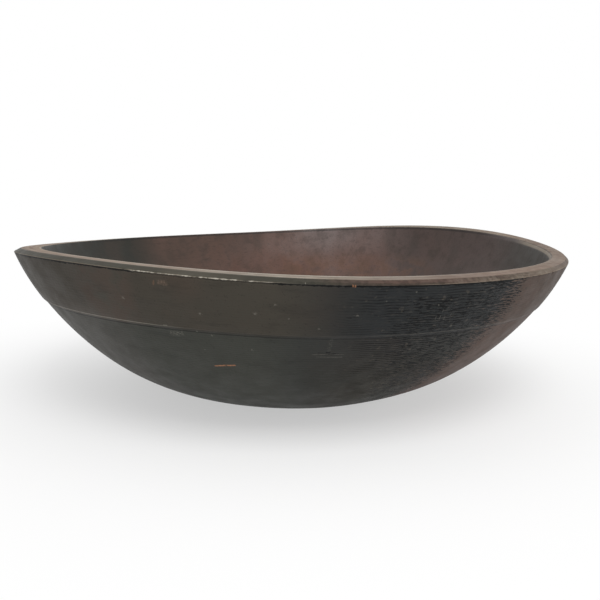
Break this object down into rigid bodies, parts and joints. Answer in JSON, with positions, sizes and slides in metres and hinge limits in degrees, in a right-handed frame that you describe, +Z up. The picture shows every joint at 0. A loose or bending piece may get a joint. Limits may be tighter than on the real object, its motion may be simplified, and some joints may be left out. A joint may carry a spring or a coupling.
{
  "type": "turned wooden bowl",
  "caption": "Wide turned wooden bowl, dried to an oval with a saddled flat rim, a chamfer under it, a band over a shallow ledge, a curved lower wall and a small flat foot.",
  "frame": {"origin": "centre of the flat foot, on the surface that the bowl stands on", "axes": "+Z up out of the hollow; the grain runs level at 47 degrees from +X towards +Y; -Y is the side that the picture shows"},
  "size_m": [0.3698, 0.3716, 0.1095],
  "materials": {
    "darkened_wood": "old dark finish on open-grained hardwood, rubbed through to bare wood on the rim, satin inside"
  },
  "bodies": {
    "root": {"bowl": "darkened_wood"}
  },
  "joints": []
}
